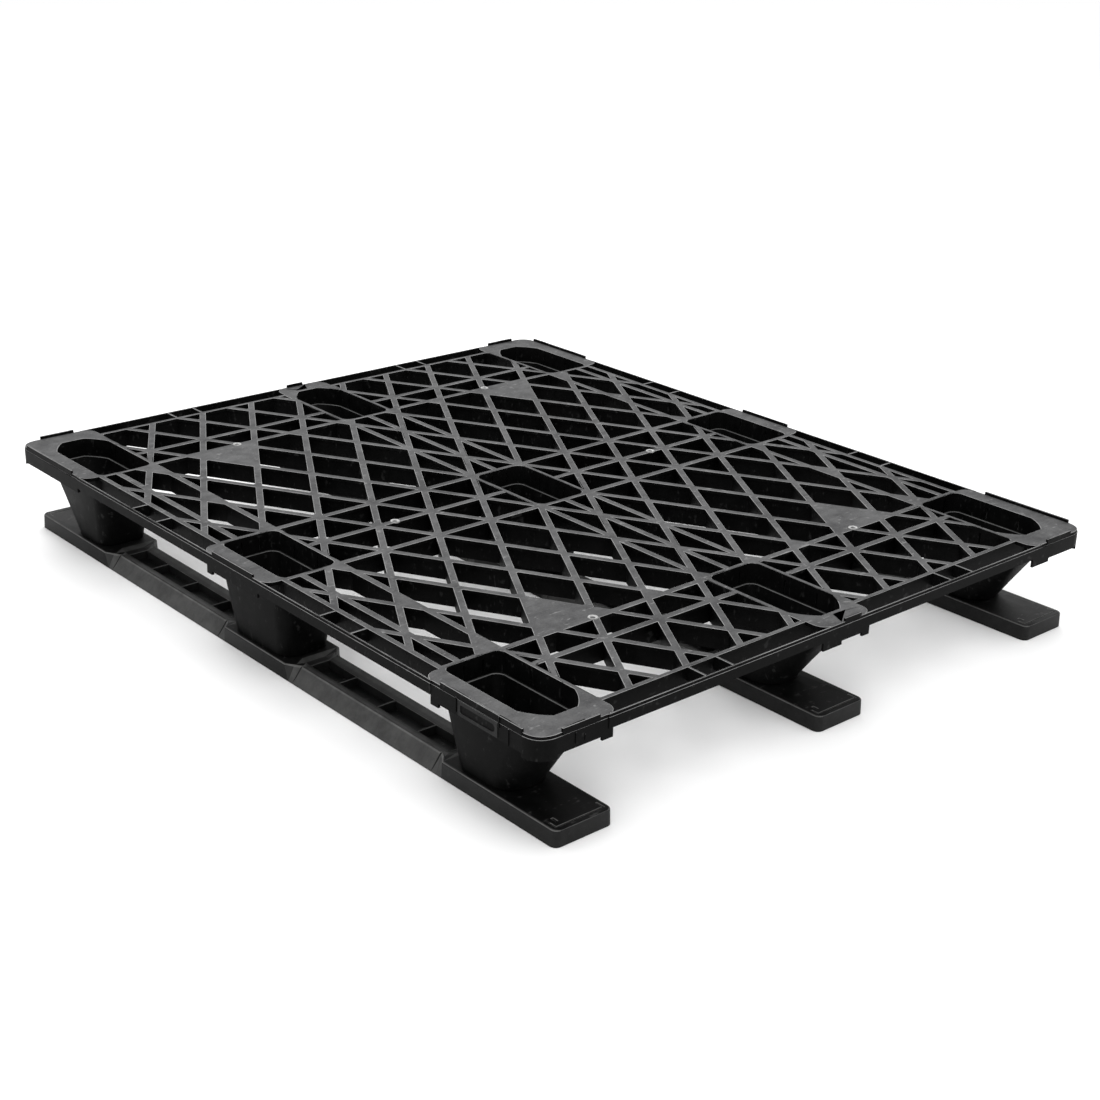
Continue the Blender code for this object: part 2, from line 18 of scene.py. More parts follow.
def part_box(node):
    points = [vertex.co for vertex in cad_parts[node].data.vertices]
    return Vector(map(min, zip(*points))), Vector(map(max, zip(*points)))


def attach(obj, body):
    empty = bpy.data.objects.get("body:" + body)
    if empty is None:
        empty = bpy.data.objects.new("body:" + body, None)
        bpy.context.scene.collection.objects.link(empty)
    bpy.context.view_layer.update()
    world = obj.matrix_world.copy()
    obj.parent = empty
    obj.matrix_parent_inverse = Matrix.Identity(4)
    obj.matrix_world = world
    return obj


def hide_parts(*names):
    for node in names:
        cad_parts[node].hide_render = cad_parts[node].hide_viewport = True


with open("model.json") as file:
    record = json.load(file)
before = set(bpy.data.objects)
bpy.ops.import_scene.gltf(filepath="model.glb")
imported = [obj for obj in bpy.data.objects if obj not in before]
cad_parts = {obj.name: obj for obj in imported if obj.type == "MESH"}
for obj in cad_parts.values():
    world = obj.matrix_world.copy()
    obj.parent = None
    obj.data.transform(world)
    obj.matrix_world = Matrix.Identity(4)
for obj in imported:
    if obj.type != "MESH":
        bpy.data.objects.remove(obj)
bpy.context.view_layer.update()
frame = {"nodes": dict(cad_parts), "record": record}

ROWS = ("front", "middle", "back")
COLUMNS = ("left", "middle", "right")
SIDES = (-1, 1)
ROOT = "root"

# Places read off the frame
DECK_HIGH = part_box("deck")[1]
HALF_X, HALF_Y = DECK_HIGH.x, DECK_HIGH.y
LIP_TOP = DECK_HIGH.z
MOUNTS = {mount["name"]: Vector(mount["pos_m"]) for mount in frame["record"]["mounts"]}
DECK_TOP = MOUNTS["load_front_left"].z

# Rib grid: nodes lie at (n * PITCH_X, row * PITCH_Y) where n + row is even. The counts
# of nodes, and of diagonals of one slope, are each way from the middle.
PITCH_X = 0.0448
PITCH_Y = 0.07545
NODES_X, NODES_Y = 9, 7
DIAGONALS = 9
RIB_WIDTH = 0.0098
RIB_DEPTH = 0.0275
FLANGE = 0.0045
WEB_SHARE = 0.4
NODE_FILLET = 0.0028

# Rows of nodes just short of an end rib: tips fill one, and four large pads the other
TIP_ROW = 5
PAD_ROW = 4
PAD_NODE = 6

# Straight ribs, by their centre lines
FRAME_X = 0.470
FRAME_Y = 0.5657
FRAME_X_WIDTH = 0.008
FRAME_Y_WIDTH = 0.0065
STRINGER_X = 0.444
COLUMN_RIB_X = 0.385
CENTRE_RIB_X = 0.044
ROW_RIB_Y = 0.0755
END_RIB_Y = 0.4005
MID_END_RIB_Y = 6 * PITCH_Y

# Rim, and the step that runs round the deck's outer edge
RIM_THICKNESS = 0.0035
RIM_DEPTH = 0.017
STEP_WIDTH = 0.0012
STEP_DEPTH = 0.0036
SKIRT_SETBACK = 0.0009
TROUGH_RIBS_X = (4.5 * PITCH_X, 5.5 * PITCH_X)
TROUGH_RIBS_Y = (0.194, 0.258)

# Plates, skirts, tabs and lips. A known fault: round PLATE_SLIT (x0, x1, y0, y1), the narrow
# slit in each centre end plate, the plate's top face folds over and shows a black triangle.
PLATE_THICKNESS = 0.005
DECK_CORNER_RADIUS = 0.026
PLATE_CORNER_RADIUS = 0.018
CORNER_PLATE_X = 0.380
CORNER_PLATE_Y = 0.397
END_PLATE_HALF = 0.046
END_PLATE_Y = 0.530
SIDE_PLATE_HALF = 0.077
PLATE_SLIT = (-0.002, 0.008, -0.5765, -0.5747)
SKIRT_THICKNESS = 0.004
SKIRT_DEPTH = 0.024
TAB_DEPTH = 0.029
LIP_THICKNESS = 0.003
SIDE_LIP_Y = (-0.572, -0.432)
SIDE_MIDDLE_LIP_HALF = 0.048
END_LIP_X = (-0.464, -0.410)
END_MIDDLE_LIP_X = (-0.008, 0.022)
END_TABS_X = ((-0.407, -0.391), (-0.046, -0.012), (0.026, 0.039), (0.380, 0.417))
SIDE_TABS_Y = ((-0.429, -0.415), (0.049, 0.061))
CORNER_TAB_Y = -0.572
CORNER_TAB_X = -0.471

# Blank label frame on the skirt. Its window's round end has WINDOW_END_SHARE of half
# the window's height as its radius.
LABEL_Y = (-0.533, -0.465)
LABEL_Z = (-0.0225, -0.0042)
LABEL_BORDER = 0.0042
LABEL_THICKNESS = 0.0022
LABEL_ROUND = 0.001
WINDOW_ROUND = 0.0015
WINDOW_END_SHARE = 0.9

# Thin ribs on the skirts: (place along the edge, bottom, top), heights from the deck's top
SIDE_FINS = ((-0.551, -0.024, -0.004), (-0.535, -0.0095, 0.004), (-0.461, -0.020, -0.002))
END_FINS = ((-0.4455, -0.019, -0.006), (-0.4320, -0.019, -0.012))
FIN_WIDTH = 0.0016

# Collars and feet. QUARTER_ROUND gives a quarter round as shares of its radius, back and down.
COLLAR_WALL = 0.0065
COLLAR_DEPTH = 0.030
LEDGE_DEPTH = 0.0265
LEDGE_WIDTH = 0.004
LEDGE_ROUND = 0.0018
QUARTER_ROUND = ((1.0, 0.0), (0.5, 0.13), (0.13, 0.5), (0.0, 1.0))
FOOT_WALL = 0.0045
FOOT_FLOOR = 0.005
FOOT_ROUND = 0.0016
FOOT_ROUND_MIDDLE = 0.3 * FOOT_ROUND
FLOOR_ROUND = 3 * FOOT_ROUND
FOOT_HALF_X = 0.0365
MIDDLE_FOOT_HALF_Y = 0.066
END_FOOT_Y = (0.414, 0.510)
SLIT_WIDTH = 0.0022
SLIT_TOP = 0.0065
END_SLITS_Y = (0.456, 0.5105)
MIDDLE_SLITS_Y = (-0.027, 0.027)
END_WALL_SLITS_X = (-0.010, 0.018)

# Corner cuts: (length along X, length along Y, fullness: 0 is a chamfer, 1 a sharp corner)
ROUND = 0.83
CORNER_STEPS = 7
CIRCLE_STEPS = 20
MIDDLE_POCKET_CUT = (0.011, 0.011, 0.7)
MIDDLE_SHOULDER_CUT = (0.021, 0.021, ROUND)
MIDDLE_BASE_CUT = (0.022, 0.022, ROUND)
INNER_POCKET_CUT = (0.010, 0.010, 0.6)
INNER_SHOULDER_CUT = (0.023, 0.023, ROUND)
INNER_BASE_CUT = (0.020, 0.020, ROUND)
OUTER_POCKET_CUT = (0.025, 0.033, 0.25)
OUTER_SHOULDER_CUT = (0.027, 0.035, 0.3)
OUTER_BASE_CUT = (0.030, 0.032, ROUND)

# Screw bosses inside the feet
BOSS_RADIUS = 0.008
BOSS_HEIGHT = 0.0145

# Runners: pads under the feet and lower spans between them. Half way down the ramp from a
# pad to a span, the section has gone RAMP_SHARE of the way.
RUNNER_CORNER_RADIUS = 0.009
RUNNER_CORNER_STEPS = 5
PAD_DRAFT = 0.001
PAD_EDGE = 0.0026
PAD_EDGE_STEPS = 3
PAD_Y = (0.072, 0.400)
SPAN_Y = (0.090, 0.380)
RAMP_SHARE = 0.62
RIDGE_HALF = 0.027
RIDGE_Z = 0.020
RIDGE_ROUND = ((0.0022, -0.0021), (0.0007, -0.0006), (-0.0008, -0.0002), (-0.0022, -0.0006))
VALLEY_HALF = 0.015
VALLEY_Z = 0.0165
CELL_HALF = 0.0135
CELL_FLOOR = 0.004
CELL_WALL = 0.0025
CROSS_RIB_Y = (0.152, 0.234, 0.316)
SEAM_HALF = 0.0013
SEAM_DEPTH = 0.0018
PAD_BORDER = 0.0080
PAD_RETURN = 0.012
LINE_END = 3 * PAD_BORDER
SLOT_BORDER = 2.2 * PAD_BORDER
PAD_GROOVE_WIDTH = 0.0014
PAD_GROOVE_DEPTH = 0.0009
COUNTERBORE_RADIUS = 0.008
COUNTERBORE_DEPTH = 0.006
CLEARANCE_RADIUS = 0.0032

# Injection gates on the deck: the profile is (share of the radius, rise over the deck)
GATE_X = 0.241
GATE_RADIUS = 0.0068
GATE_OFFSET = Vector((-0.0022, -0.0012))
GATE_ROOT = 0.001
GATE_PROFILE = ((1.0, 0.0), (0.93, 0.0008), (0.78, 0.0012), (0.62, 0.0009), (0.50, 0.0002))

# Rounded upper edges, each between a top and a wall as told by the faces' normals
EDGE_ROUNDING = 0.0008
EDGE_SEGMENTS = 2
TOP_NORMAL_Z = 0.9
WALL_NORMAL_Z = 0.5

# Plan of the deck: points this close are one, and crossing outlines are split into faces
MERGE_DISTANCE = 1e-5
SPLIT_INTO_FACES = 4

# Depth below the deck's top within which its level faces count as tops, painted paler as dust and painted
# light
CROWN_BAND = 0.005

# Studio
FLOOR_REACH = 60.0
FLOOR_DROP = 0.0005
SKY_STRENGTH = 1.04
CAMERA_PLACE = Vector((-1.6021, -1.8523, 1.0415))
CAMERA_FORWARD = Vector((0.6143, 0.6920, -0.3792))
CAMERA_UP = Vector((0.2318, 0.3011, 0.9250))
CAMERA_LENS = 59.17
CAMERA_SENSOR = 36.0
CAMERA_REACH = 200.0


# ---------------------------------------------------------------- outlines

def strip(start, end, width):
    """A straight rib's outline from start to end, in plan."""
    a, b = Vector(start), Vector(end)
    across = (b - a).normalized().orthogonal() * width / 2
    return [a + across, a - across, b - across, b + across]


def rectangle(x0, x1, y0, y1):
    """Anticlockwise from (x0, y0)."""
    return [Vector((x0, y0)), Vector((x1, y0)), Vector((x1, y1)), Vector((x0, y1))]


def cut_corner(corner, start, end, fullness):
    """Points of a corner from start to end, bent towards the sharp corner by fullness."""
    control = ((start + end) / 2).lerp(corner, fullness)
    points = []
    for i in range(CORNER_STEPS + 1):
        t = i / CORNER_STEPS
        points.append((1 - t) ** 2 * start + 2 * t * (1 - t) * control + t * t * end)
    return points


def cut_rectangle(x0, x1, y0, y1, cuts):
    """A rectangle with its corners cut; cuts go round from (x0, y0), each
    (length along X, length along Y, fullness), or None for a sharp corner."""
    points = []
    for i, corner in enumerate(rectangle(x0, x1, y0, y1)):
        if cuts[i] is None:
            points.append(corner)
            continue
        along_x, along_y, fullness = cuts[i]
        on_x = corner + Vector((math.copysign(along_x, x0 + x1 - 2 * corner.x), 0))
        on_y = corner + Vector((0, math.copysign(along_y, y0 + y1 - 2 * corner.y)))
        start, end = (on_y, on_x) if i % 2 == 0 else (on_x, on_y)
        points += cut_corner(corner, start, end, fullness)
    return points


def round_cut(radius):
    """The cut that rounds a corner off evenly."""
    return (radius, radius, ROUND)


def band(path, thickness):
    """A wall of even thickness on the left of an open path."""
    inner = []
    for i, point in enumerate(path):
        before = path[max(i - 1, 0)]
        after = path[min(i + 1, len(path) - 1)]
        normals = []
        for a, b in ((before, point), (point, after)):
            if (b - a).length > 0:
                normals.append((b - a).normalized())
        left = sum((Vector((-n.y, n.x)) for n in normals), Vector((0, 0))).normalized()
        stretch = left.dot(Vector((-normals[0].y, normals[0].x)))
        inner.append(point + left * thickness / stretch)
    return path + inner[::-1]


def mirrored(points, sx, sy):
    """The outline carried to another corner of the pallet, kept anticlockwise."""
    out = [Vector((p.x * sx, p.y * sy)) for p in points]
    return out if sx * sy > 0 else out[::-1]


def circle(centre, radius):
    points = []
    for i in range(CIRCLE_STEPS):
        angle = 2 * math.pi * i / CIRCLE_STEPS
        points.append(Vector((centre.x + radius * math.cos(angle), centre.y + radius * math.sin(angle))))
    return points


# ---------------------------------------------------------------- feet

class Foot:
    """One hollow foot: its place, and its outline at the pocket and at the base."""

    def __init__(self, column, row):
        self.name = ROWS[row + 1] + "_" + COLUMNS[column + 1]
        self.row = row
        low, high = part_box("foot_" + self.name)
        self.bottom = low.z
        self.centre_x = (low.x + high.x) / 2
        self.half_x = (high.x - low.x) / 2 - FOOT_WALL
        self.inner_y = min(abs(low.y), abs(high.y)) + FOOT_WALL
        self.outer_y = max(abs(low.y), abs(high.y)) - FOOT_WALL
        self.screws = [screw_centre(f"screw_{self.name}_{label}") for label in "ab"]

    def _outline(self, half_x, inner_y, outer_y, inner_cut, outer_cut):
        x0, x1 = self.centre_x - half_x, self.centre_x + half_x
        if self.row == 0:
            return cut_rectangle(x0, x1, -outer_y, outer_y, [inner_cut] * 4)
        if self.row < 0:
            return cut_rectangle(x0, x1, -outer_y, -inner_y, [outer_cut, outer_cut, inner_cut, inner_cut])
        return cut_rectangle(x0, x1, inner_y, outer_y, [inner_cut, inner_cut, outer_cut, outer_cut])

    def pocket(self, grow=0.0):
        """The pocket's outline, moved out by grow on every side."""
        if self.row == 0:
            return self._outline(self.half_x + grow, 0, self.outer_y + grow, MIDDLE_POCKET_CUT, None)
        along_x, along_y, fullness = OUTER_POCKET_CUT
        outer_cut = (along_x + grow / 2, along_y + grow / 2, fullness)
        return self._outline(self.half_x + grow, self.inner_y - grow, self.outer_y + grow,
                             INNER_POCKET_CUT, outer_cut)

    def shoulder(self, grow=0.0):
        """The outline below the collar, whose inner corners are broader than the pocket's."""
        if self.row == 0:
            return self._outline(self.half_x + grow, 0, self.outer_y + grow, MIDDLE_SHOULDER_CUT, None)
        return self._outline(self.half_x + grow, self.inner_y - grow, self.outer_y + grow,
                             INNER_SHOULDER_CUT, OUTER_SHOULDER_CUT)

    def base(self, grow=0.0):
        """The foot's outline where it stands on the runner."""
        half_x = FOOT_HALF_X + grow
        if self.row == 0:
            return self._outline(half_x, 0, MIDDLE_FOOT_HALF_Y + grow, MIDDLE_BASE_CUT, None)
        return self._outline(half_x, END_FOOT_Y[0] - grow, END_FOOT_Y[1] + grow,
                             INNER_BASE_CUT, OUTER_BASE_CUT)

    def slits(self):
        """Narrow slits in the collar: two in each long wall, two in each end wall on the grid."""
        slits = []
        half = SLIT_WIDTH / 2
        long_y = MIDDLE_SLITS_Y if self.row == 0 else [self.row * y for y in END_SLITS_Y]
        for side in SIDES:
            wall_x = self.centre_x + side * (self.half_x + COLLAR_WALL / 2)
            for y in long_y:
                slits.append(rectangle(wall_x - COLLAR_WALL, wall_x + COLLAR_WALL, y - half, y + half))
        ends = (-self.outer_y, self.outer_y) if self.row == 0 else (self.row * self.inner_y,)
        for end in ends:
            inwards = math.copysign(COLLAR_WALL / 2, end) if self.row == 0 else -self.row * COLLAR_WALL / 2
            wall_y = end + inwards
            for x in END_WALL_SLITS_X:
                x += self.centre_x
                slits.append(rectangle(x - half, x + half, wall_y - COLLAR_WALL, wall_y + COLLAR_WALL))
        return slits


def screw_centre(name):
    low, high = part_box(name)
    return (low.xy + high.xy) / 2


FEET = [Foot(column, row) for row in (-1, 0, 1) for column in (-1, 0, 1)]


# ---------------------------------------------------------------- the deck in plan

def grid_ribs(share):
    """Both families of diagonals and the straight ribs, at a share of their width."""
    ribs = []
    for slope in SIDES:
        for k in range(-DIAGONALS, DIAGONALS + 1):
            offset = 2 * k * PITCH_Y
            gradient = slope * PITCH_Y / PITCH_X
            crossings = sorted([(-FRAME_Y - offset) / gradient, (FRAME_Y - offset) / gradient])
            x0, x1 = max(-FRAME_X, crossings[0]), min(FRAME_X, crossings[1])
            if x1 - x0 > RIB_WIDTH:
                start, end = (x0, gradient * x0 + offset), (x1, gradient * x1 + offset)
                ribs.append(strip(start, end, RIB_WIDTH * share))
    for side in SIDES:
        ribs.append(strip((side * FRAME_X, -FRAME_Y), (side * FRAME_X, FRAME_Y), FRAME_X_WIDTH * share))
        ribs.append(strip((-FRAME_X, side * FRAME_Y), (FRAME_X, side * FRAME_Y), FRAME_Y_WIDTH * share))
        for x in (COLUMN_RIB_X, CENTRE_RIB_X):
            ribs.append(strip((side * x, -FRAME_Y), (side * x, FRAME_Y), RIB_WIDTH * share))
        for y in (ROW_RIB_Y, END_RIB_Y):
            ribs.append(strip((-FRAME_X, side * y), (FRAME_X, side * y), RIB_WIDTH * share))
        ribs.append(strip((side * CENTRE_RIB_X, 0), (side * COLUMN_RIB_X, 0), RIB_WIDTH * share))
        for x in (-STRINGER_X, 0, STRINGER_X):
            ribs.append(strip((x, side * ROW_RIB_Y), (x, side * END_RIB_Y), RIB_WIDTH * share))
        for end in SIDES:
            ribs.append(strip((end * CENTRE_RIB_X, side * MID_END_RIB_Y),
                              (end * COLUMN_RIB_X, side * MID_END_RIB_Y), RIB_WIDTH * share))
    return ribs


def grid_fillets():
    """Solid triangles in the grid: the four large pads, and the narrow tips where
    diagonals meet just short of an end rib or a column rib."""
    pads, tips = [], []
    for sy in SIDES:
        for n in range(-NODES_X, NODES_X + 1):
            if n % 2:
                row, group = TIP_ROW, tips
            elif abs(n) == PAD_NODE:
                row, group = PAD_ROW, pads
            else:
                continue
            run = (END_RIB_Y / PITCH_Y - row) * PITCH_X
            triangle = [Vector((n * PITCH_X, row * PITCH_Y)), Vector((n * PITCH_X + run, END_RIB_Y)),
                        Vector((n * PITCH_X - run, END_RIB_Y))]
            group.append(mirrored(triangle, 1, sy))
    run = (NODES_X - COLUMN_RIB_X / PITCH_X) * PITCH_Y
    for sx in SIDES:
        for row in range(-TIP_ROW, TIP_ROW + 1, 2):
            y = row * PITCH_Y
            triangle = [Vector((NODES_X * PITCH_X, y)), Vector((COLUMN_RIB_X, y + run)),
                        Vector((COLUMN_RIB_X, y - run))]
            tips.append(mirrored(triangle, sx, 1))
    return pads, tips


def node_fillets():
    """Small hexagons that fill the sharp corners where two diagonals cross."""
    lean = math.atan2(PITCH_X, PITCH_Y)
    reach = RIB_WIDTH / 2 / math.sin(lean) + NODE_FILLET
    flat = NODE_FILLET * math.tan(lean)
    wide = RIB_WIDTH / 2 / math.cos(lean)
    corners = ((wide, 0), (flat, reach), (-flat, reach), (-wide, 0), (-flat, -reach), (flat, -reach))
    fillets = []
    for n in range(-NODES_X, NODES_X + 1):
        for row in range(-NODES_Y, NODES_Y + 1):
            x, y = n * PITCH_X, row * PITCH_Y
            if (n + row) % 2 or abs(y) + reach > FRAME_Y or abs(x) > COLUMN_RIB_X:
                continue
            fillets.append([Vector((x + dx, y + dy)) for dx, dy in corners])
    return fillets


def rim_strips(thickness, setback):
    """The outer rim's straight walls, setback from the outer faces."""
    strips = []
    rim_x, rim_y = HALF_X - setback - thickness / 2, HALF_Y - setback - thickness / 2
    reach_x = CORNER_PLATE_X + PLATE_CORNER_RADIUS
    reach_y = CORNER_PLATE_Y + PLATE_CORNER_RADIUS
    for side in SIDES:
        strips.append(strip((side * rim_x, -reach_y), (side * rim_x, reach_y), thickness))
        strips.append(strip((-reach_x, side * rim_y), (reach_x, side * rim_y), thickness))
    return strips


def trough_ribs():
    """The short ribs that tie the rim to the frame of the grid."""
    strips = []
    rim_x, rim_y = HALF_X - RIM_THICKNESS / 2, HALF_Y - RIM_THICKNESS / 2
    for side in SIDES:
        for end in SIDES:
            for x in TROUGH_RIBS_X:
                strips.append(strip((end * x, side * FRAME_Y), (end * x, side * rim_y), RIM_THICKNESS))
            for y in TROUGH_RIBS_Y:
                strips.append(strip((side * FRAME_X, end * y), (side * rim_x, end * y), RIM_THICKNESS))
    return strips


def plates():
    """The flat plates: four corners, the middles of the long sides, the middles of the ends."""
    outlines = []
    inset = STEP_WIDTH + SKIRT_SETBACK
    edge_x, edge_y = HALF_X - inset, HALF_Y - inset
    deck_corner = round_cut(DECK_CORNER_RADIUS - inset)
    plate_corner = round_cut(PLATE_CORNER_RADIUS)
    side_strip = cut_rectangle(-edge_x, -FRAME_X, -edge_y, -CORNER_PLATE_Y,
                               [deck_corner, None, None, plate_corner])
    end_strip = cut_rectangle(-edge_x, -CORNER_PLATE_X, -edge_y, -END_PLATE_Y,
                              [deck_corner, plate_corner, None, None])
    for sx in SIDES:
        for sy in SIDES:
            outlines.append(mirrored(side_strip, sx, sy))
            outlines.append(mirrored(end_strip, sx, sy))
    side_middle = cut_rectangle(-edge_x, -FRAME_X, -SIDE_PLATE_HALF, SIDE_PLATE_HALF,
                                [plate_corner, None, None, plate_corner])
    end_middle = cut_rectangle(-END_PLATE_HALF, END_PLATE_HALF, -edge_y, -END_PLATE_Y,
                               [plate_corner, plate_corner, None, None])
    for turn in SIDES:
        outlines.append(mirrored(side_middle, turn, turn))
        outlines.append(mirrored(end_middle, turn, turn))
    return outlines


def corner_path(y_end, x_end):
    """The outer edge round the front left corner, from the side to the end, anticlockwise."""
    corner = Vector((-HALF_X + SKIRT_SETBACK, -HALF_Y + SKIRT_SETBACK))
    radius = DECK_CORNER_RADIUS - SKIRT_SETBACK
    bend = cut_corner(corner, corner + Vector((0, radius)), corner + Vector((radius, 0)), ROUND)
    return [Vector((corner.x, y_end))] + bend + [Vector((x_end, corner.y))]


def edge_walls():
    """Skirts, the deeper tabs and thin ribs on them, and the lips above: (outline, bottom, top)."""
    skirt_low = DECK_TOP - SKIRT_DEPTH
    tab_low = DECK_TOP - TAB_DEPTH
    wall_top = DECK_TOP - STEP_DEPTH
    skirt_x = (-HALF_X + SKIRT_SETBACK, -HALF_X + SKIRT_THICKNESS)
    skirt_y = (-HALF_Y + SKIRT_SETBACK, -HALF_Y + SKIRT_THICKNESS)
    lip_x = (-HALF_X + STEP_WIDTH, -HALF_X + STEP_WIDTH + LIP_THICKNESS)
    lip_y = (-HALF_Y + STEP_WIDTH, -HALF_Y + STEP_WIDTH + LIP_THICKNESS)

    corner_ends = (-CORNER_PLATE_Y - PLATE_CORNER_RADIUS, -CORNER_PLATE_X - PLATE_CORNER_RADIUS)
    at_corners = [(band(corner_path(*corner_ends), SKIRT_THICKNESS), skirt_low, wall_top),
                  (rectangle(*lip_x, *SIDE_LIP_Y), skirt_low, LIP_TOP),
                  (rectangle(*END_LIP_X, *lip_y), skirt_low, LIP_TOP)]
    walls = []
    for sx in SIDES:
        for sy in SIDES:
            walls += [(mirrored(outline, sx, sy), low, high) for outline, low, high in at_corners]

    straight = SIDE_PLATE_HALF - PLATE_CORNER_RADIUS
    end_straight = END_PLATE_HALF - PLATE_CORNER_RADIUS
    tab_path = corner_path(CORNER_TAB_Y, CORNER_TAB_X)
    third = CORNER_STEPS // 3
    hook_path = tab_path[1 + third:-1 - third]
    half_round = [(rectangle(*skirt_x, -straight, straight), skirt_low, wall_top),
                  (rectangle(-end_straight, end_straight, *skirt_y), skirt_low, wall_top),
                  (rectangle(*lip_x, -SIDE_MIDDLE_LIP_HALF, SIDE_MIDDLE_LIP_HALF), skirt_low, LIP_TOP),
                  (rectangle(*END_MIDDLE_LIP_X, *lip_y), skirt_low, LIP_TOP),
                  (band(tab_path, SKIRT_THICKNESS), tab_low, wall_top),
                  (mirrored(band(hook_path, SKIRT_THICKNESS), -1, 1), tab_low, wall_top)]
    half_round += [(rectangle(*tab_x, *skirt_y), tab_low, wall_top) for tab_x in END_TABS_X]
    half_round += [(rectangle(*skirt_x, *tab_y), tab_low, wall_top) for tab_y in SIDE_TABS_Y]
    for y, low, high in SIDE_FINS:
        fin = rectangle(-HALF_X, -HALF_X + SKIRT_THICKNESS, y - FIN_WIDTH / 2, y + FIN_WIDTH / 2)
        half_round.append((fin, DECK_TOP + low, DECK_TOP + high))
    for x, low, high in END_FINS:
        fin = rectangle(x - FIN_WIDTH / 2, x + FIN_WIDTH / 2, -HALF_Y, -HALF_Y + SKIRT_THICKNESS)
        half_round.append((fin, DECK_TOP + low, DECK_TOP + high))
    for turn in SIDES:
        # Half a turn about Z carries each of these to the opposite side or end
        walls += [(mirrored(outline, turn, turn), low, high) for outline, low, high in half_round]
    return walls


def deck_regions():
    """Everything in the deck's plan as (outline, bottom, top)."""
    flange_low = DECK_TOP - FLANGE
    rim_low = DECK_TOP - RIM_DEPTH
    pads, tips = grid_fillets()
    flanges = grid_ribs(1) + tips + node_fillets()
    plain_rims = rim_strips(RIM_THICKNESS - STEP_WIDTH, STEP_WIDTH) + trough_ribs()
    regions = [(outline, flange_low, DECK_TOP) for outline in flanges]
    regions += [(outline, DECK_TOP - RIB_DEPTH, flange_low) for outline in grid_ribs(WEB_SHARE)]
    regions += [(outline, DECK_TOP - PLATE_THICKNESS, DECK_TOP) for outline in pads + plates()]
    regions += [(outline, rim_low, DECK_TOP - STEP_DEPTH) for outline in rim_strips(RIM_THICKNESS, 0)]
    regions += [(outline, rim_low, DECK_TOP) for outline in plain_rims]
    regions += [(foot.pocket(COLLAR_WALL), DECK_TOP - COLLAR_DEPTH, DECK_TOP) for foot in FEET]
    return regions + edge_walls()


# ---------------------------------------------------------------- solids

def new_object(name, solid, material=None):
    """A new object from a bmesh, which is freed."""
    mesh = bpy.data.meshes.new(name)
    solid.normal_update()
    solid.to_mesh(mesh)
    solid.free()
    item = bpy.data.objects.new(name, mesh)
    bpy.context.scene.collection.objects.link(item)
    if material:
        mesh.materials.append(material)
    return item


def terraced_solid(regions, voids, undercuts):
    """One solid from overlapping plan outlines: each patch of the plan runs from the
    lowest bottom to the highest top of the outlines over it, and none is left in a void.
    An undercut (outline, level) raises the bottom over it to its level."""
    undercut_from = len(regions)
    void_from = undercut_from + len(undercuts)
    outlines = [region[0] for region in regions] + [cut[0] for cut in undercuts] + voids
    points, faces = [], []
    for outline in outlines:
        faces.append(list(range(len(points), len(points) + len(outline))))
        points += outline
    plan = delaunay_2d_cdt(points, [], faces, SPLIT_INTO_FACES, MERGE_DISTANCE)
    plan_points, plan_faces, sources = plan[0], plan[2], plan[5]

    patches = []
    for face, over in zip(plan_faces, sources):
        covering = [i for i in over if i < undercut_from]
        if not covering or max(over) >= void_from:
            continue
        low = min(regions[i][1] for i in covering)
        high = max(regions[i][2] for i in covering)
        for i in over:
            if i >= undercut_from:
                low = max(low, undercuts[i - undercut_from][1])
        patches.append((face, low, high))

    solid = bmesh.new()
    made = {}
    levels = {}
    span_left_of = {}
    for face, low, high in patches:
        for i, a in enumerate(face):
            levels.setdefault(a, set()).update((low, high))
            span_left_of[a, face[(i + 1) % len(face)]] = (low, high)

    def vertex(index, z):
        key = (index, z)
        if key not in made:
            point = plan_points[index]
            made[key] = solid.verts.new((point.x, point.y, z))
        return made[key]

    def wall(a, b, low, high):
        """The wall over plan edge a-b, its face to the right of the edge."""
        up = [z for z in sorted(levels[b]) if low <= z <= high]
        down = [z for z in sorted(levels[a], reverse=True) if low <= z <= high]
        solid.faces.new([vertex(a, low)] + [vertex(b, z) for z in up]
                        + [vertex(a, z) for z in down if z > low])

    for face, low, high in patches:
        solid.faces.new([vertex(i, high) for i in face])
        solid.faces.new([vertex(i, low) for i in reversed(face)])
        for i, a in enumerate(face):
            b = face[(i + 1) % len(face)]
            beyond = span_left_of.get((b, a))
            if beyond is None:
                wall(a, b, low, high)
                continue
            if low < beyond[0]:
                wall(a, b, low, min(high, beyond[0]))
            if high > beyond[1]:
                wall(a, b, max(low, beyond[1]), high)
    return solid


def skin(solid, rings):
    """Add the closed body that runs through rings of points, in order."""
    solid.faces.new(rings[0][::-1])
    solid.faces.new(rings[-1])
    for near, far in zip(rings, rings[1:]):
        for i in range(len(near)):
            j = (i + 1) % len(near)
            solid.faces.new((near[i], near[j], far[j], far[i]))


def loft(solid, sections):
    """Add a closed body through outlines of equal point count, from the bottom up."""
    skin(solid, [[solid.verts.new((p.x, p.y, z)) for p in outline] for outline, z in sections])


def mark_upper_edges(solid):
    """Weight for bevelling every convex edge between a level top and a wall below it."""
    weight = solid.edges.layers.float.new('bevel_weight_edge')
    solid.normal_update()
    for edge in solid.edges:
        if len(edge.link_faces) != 2:
            continue
        top = max(edge.link_faces, key=lambda face: face.normal.z)
        side = min(edge.link_faces, key=lambda face: face.normal.z)
        if top.normal.z > TOP_NORMAL_Z and abs(side.normal.z) < WALL_NORMAL_Z and edge.is_convex:
            edge[weight] = 1.0


